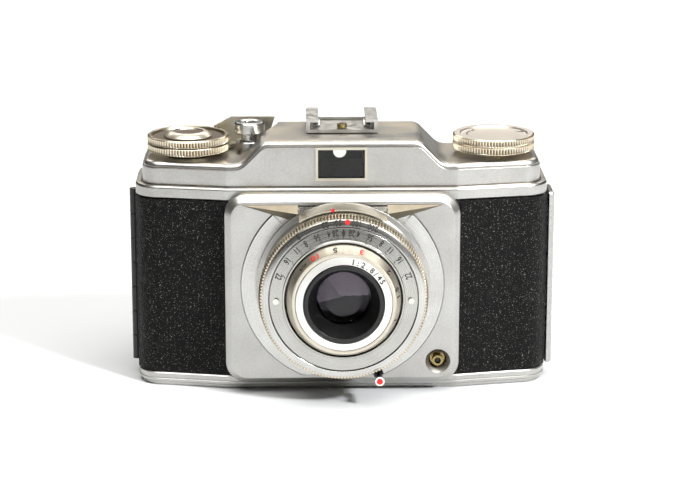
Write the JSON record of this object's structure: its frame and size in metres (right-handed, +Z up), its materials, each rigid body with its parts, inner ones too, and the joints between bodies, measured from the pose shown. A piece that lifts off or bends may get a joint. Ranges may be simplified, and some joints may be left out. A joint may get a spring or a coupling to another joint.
{
  "type": "film camera",
  "caption": "Compact 35 mm viewfinder film camera: satin chrome top and front plate, black leatherette, leaf shutter lens, lever wind, rewind knob and hinged back.",
  "frame": {"origin": "middle of the box at the underside of the base plate", "axes": "+X to the right seen from the front, -Y out of the lens, +Z up"},
  "size_m": [0.1254, 0.0594, 0.0784],
  "materials": {
    "satin_chrome": "pressed brass or steel, sandblasted and chrome plated to a satin",
    "bright_chrome": "turned brass, polished and chrome plated, slightly worn",
    "white_alloy": "turned and anodised, fine concentric marks",
    "black_leatherette": "embossed fine-grain covering, glued on",
    "black_enamel": "stoved black enamel",
    "matte_plastic": "moulded black plastic",
    "cast_alloy": "die cast and painted matt black inside",
    "spring_steel": "rolled strip or drawn rod",
    "brass": "turned, bare",
    "coated_glass": "ground, polished and given a purple coating"
  },
  "bodies": {
    "camera_body": {"body_casting": "cast_alloy", "base_plate": "satin_chrome", "tripod_bush": "bright_chrome", "top_cover": "satin_chrome", "front_leather_left": "black_leatherette", "front_leather_right": "black_leatherette", "viewfinder_tube": "black_enamel", "viewfinder_glass": "coated_glass", "viewfinder_bezel": "bright_chrome", "viewfinder_eye_lens": "coated_glass", "eyepiece_ring": "black_enamel", "accessory_shoe": "bright_chrome", "shoe_spring": "spring_steel", "shoe_stop_screw": "brass", "flash_socket": "brass", "flash_socket_core": "black_enamel", "front_plate": "satin_chrome", "shutter_base_disc": "satin_chrome", "brow_left": "satin_chrome", "brow_right": "satin_chrome", "index_visor": "satin_chrome", "shutter_housing": "black_enamel", "scale_ring": "satin_chrome", "scale_screw_left": "bright_chrome", "scale_screw_right": "bright_chrome", "rear_lens_cell": "black_enamel", "rear_lens": "coated_glass", "body_hinge_leaf": "black_enamel", "hinge_pin": "spring_steel", "release_collar": "bright_chrome"},
    "back_door": {"door_shell": "black_enamel", "door_leather": "black_leatherette", "pressure_plate": "black_enamel", "pressure_spring": "spring_steel", "door_hinge_leaf": "black_enamel"},
    "door_latch": {"latch_bar": "satin_chrome"},
    "speed_ring": {"speed_ring": "satin_chrome"},
    "aperture_ring": {"aperture_ring": "bright_chrome"},
    "self_timer": {"self_timer_lever": "black_enamel"},
    "lens_cell": {"focus_ring": "bright_chrome", "lens_front_ring": "white_alloy", "lens_bezel": "black_enamel", "front_lens": "coated_glass"},
    "wind_lever": {"wind_lever": "satin_chrome", "lever_hub": "bright_chrome"},
    "counter_disc": {"counter_disc": "bright_chrome"},
    "reminder_dial": {"reminder_dial": "bright_chrome"},
    "take_up_spool": {"take_up_spool": "matte_plastic"},
    "sprocket_shaft": {"sprocket_shaft": "matte_plastic"},
    "release_button": {"release_button": "bright_chrome"},
    "rewind_shaft": {"rewind_shaft": "spring_steel"},
    "rewind_knob": {"rewind_knob": "bright_chrome"},
    "shutter_leaf_1": {"shutter_leaf_1": "spring_steel"},
    "shutter_leaf_2": {"shutter_leaf_2": "spring_steel"},
    "shutter_leaf_3": {"shutter_leaf_3": "spring_steel"},
    "shutter_leaf_4": {"shutter_leaf_4": "spring_steel"},
    "shutter_leaf_5": {"shutter_leaf_5": "spring_steel"}
  },
  "joints": [
    {"name": "door_hinge", "type": "hinge", "parent": "camera_body", "child": "back_door", "pos_m": [-0.06145, 0.0133, 0], "axis": [0, 0, 1], "range_deg": [0, 110]},
    {"name": "latch_slide", "type": "slide", "parent": "back_door", "child": "door_latch", "axis": [0, 0, -1], "range_m": [0, 0.003]},
    {"name": "speed_ring_turn", "type": "hinge", "parent": "camera_body", "child": "speed_ring", "pos_m": [0, 0, 0.0329], "axis": [0, -1, 0], "range_deg": [-40, 40]},
    {"name": "aperture_ring_turn", "type": "hinge", "parent": "camera_body", "child": "aperture_ring", "pos_m": [0, 0, 0.0329], "axis": [0, -1, 0], "range_deg": [-35, 35]},
    {"name": "self_timer_swing", "type": "hinge", "parent": "camera_body", "child": "self_timer", "pos_m": [0, 0, 0.0329], "axis": [0, -1, 0], "range_deg": [0, 60]},
    {"name": "focus_turn", "type": "hinge", "parent": "camera_body", "child": "lens_cell", "pos_m": [0, 0, 0.0329], "axis": [0, -1, 0], "range_deg": [-100, 60]},
    {"name": "wind_lever_turn", "type": "hinge", "parent": "camera_body", "child": "wind_lever", "pos_m": [-0.045, 0.0119, 0], "axis": [0, 0, 1], "range_deg": [0, 150], "stiffness_Nm_per_rad": 0.01, "springref_deg": -11.46},
    {"name": "counter_turn", "type": "hinge", "parent": "camera_body", "child": "counter_disc", "pos_m": [-0.045, 0.0119, 0], "axis": [0, 0, 1], "range_deg": [0, 10.2]},
    {"name": "reminder_dial_turn", "type": "hinge", "parent": "counter_disc", "child": "reminder_dial", "pos_m": [-0.045, 0.0119, 0], "axis": [0, 0, 1], "continuous": true},
    {"name": "take_up_turn", "type": "hinge", "parent": "camera_body", "child": "take_up_spool", "pos_m": [-0.045, 0.0119, 0], "axis": [0, 0, 1], "range_deg": [0, 290]},
    {"name": "sprocket_turn", "type": "hinge", "parent": "camera_body", "child": "sprocket_shaft", "pos_m": [-0.0283, 0.019, 0], "axis": [0, 0, 1], "range_deg": [0, 366]},
    {"name": "release_press", "type": "slide", "parent": "camera_body", "child": "release_button", "axis": [0, 0, -1], "range_m": [0, 0.0012], "stiffness_N_per_m": 600, "springref_m": -0.0005},
    {"name": "rewind_turn", "type": "hinge", "parent": "camera_body", "child": "rewind_shaft", "pos_m": [0.045, 0.0119, 0], "axis": [0, 0, 1], "continuous": true},
    {"name": "rewind_pull", "type": "slide", "parent": "rewind_shaft", "child": "rewind_knob", "axis": [0, 0, 1], "range_m": [0, 0.006]},
    {"name": "shutter_leaf_1_swing", "type": "hinge", "parent": "camera_body", "child": "shutter_leaf_1", "pos_m": [0.0145, 0, 0.0329], "axis": [0, 1, 0], "range_deg": [0, 36]},
    {"name": "shutter_leaf_2_swing", "type": "hinge", "parent": "camera_body", "child": "shutter_leaf_2", "pos_m": [0.00448, 0, 0.04669], "axis": [0, 1, 0], "range_deg": [0, 36]},
    {"name": "shutter_leaf_3_swing", "type": "hinge", "parent": "camera_body", "child": "shutter_leaf_3", "pos_m": [-0.01173, 0, 0.04142], "axis": [0, 1, 0], "range_deg": [0, 36]},
    {"name": "shutter_leaf_4_swing", "type": "hinge", "parent": "camera_body", "child": "shutter_leaf_4", "pos_m": [-0.01173, 0, 0.02438], "axis": [0, 1, 0], "range_deg": [0, 36]},
    {"name": "shutter_leaf_5_swing", "type": "hinge", "parent": "camera_body", "child": "shutter_leaf_5", "pos_m": [0.00448, 0, 0.01911], "axis": [0, 1, 0], "range_deg": [0, 36]}
  ],
  "couplings": [
    {"joint": "counter_turn", "follows": "wind_lever_turn", "ratio": 0.0666},
    {"joint": "take_up_turn", "follows": "wind_lever_turn", "ratio": 1.9},
    {"joint": "sprocket_turn", "follows": "wind_lever_turn", "ratio": 2.4},
    {"joint": "shutter_leaf_1_swing", "follows": "release_press", "rad_per_m": 505},
    {"joint": "shutter_leaf_2_swing", "follows": "release_press", "rad_per_m": 505},
    {"joint": "shutter_leaf_3_swing", "follows": "release_press", "rad_per_m": 505},
    {"joint": "shutter_leaf_4_swing", "follows": "release_press", "rad_per_m": 505},
    {"joint": "shutter_leaf_5_swing", "follows": "release_press", "rad_per_m": 505}
  ]
}
